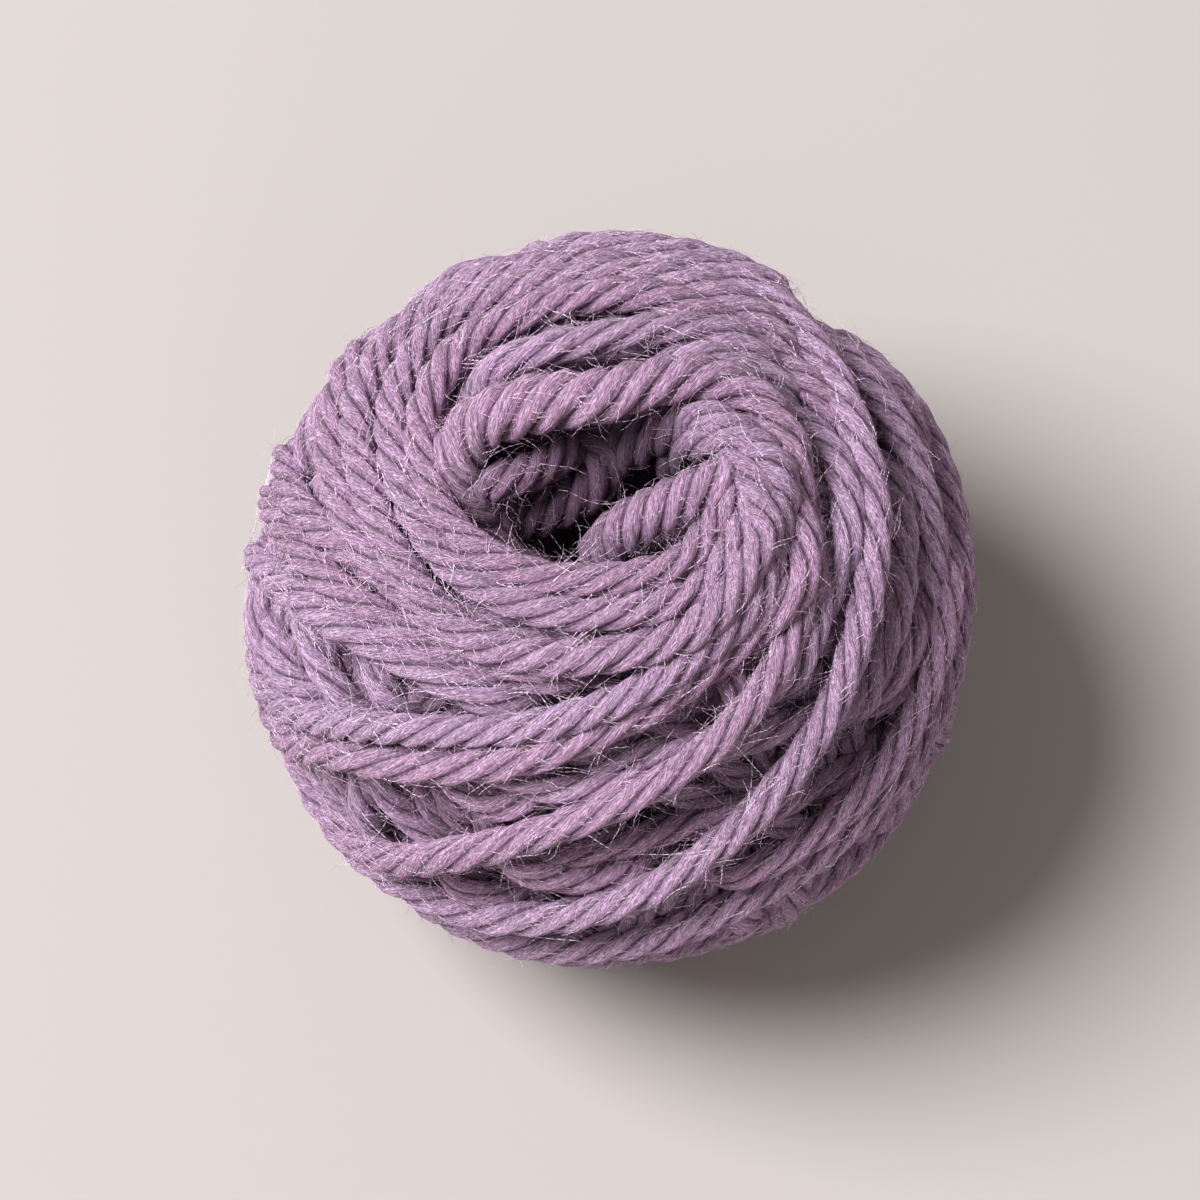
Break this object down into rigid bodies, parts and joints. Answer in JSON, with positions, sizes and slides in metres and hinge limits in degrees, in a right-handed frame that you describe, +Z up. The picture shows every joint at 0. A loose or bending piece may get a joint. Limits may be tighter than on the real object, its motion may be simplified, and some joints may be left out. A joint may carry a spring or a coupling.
{
  "type": "ball of yarn",
  "caption": "Hand-wound centre-pull ball of thick four-ply wool yarn with an open hollow in its top, resting on a small flat spot.",
  "frame": {"origin": "middle of the flat spot under the ball, on the surface that it rests on", "axes": "+Z up, towards the hollow in the top; the side seen nearest in front faces -Y"},
  "size_m": [0.092, 0.0927, 0.0819],
  "materials": {
    "wool": "soft, fuzzy, matt plied wool in a dusty mauve"
  },
  "bodies": {
    "root": {"wound_ball": "wool"}
  },
  "joints": []
}
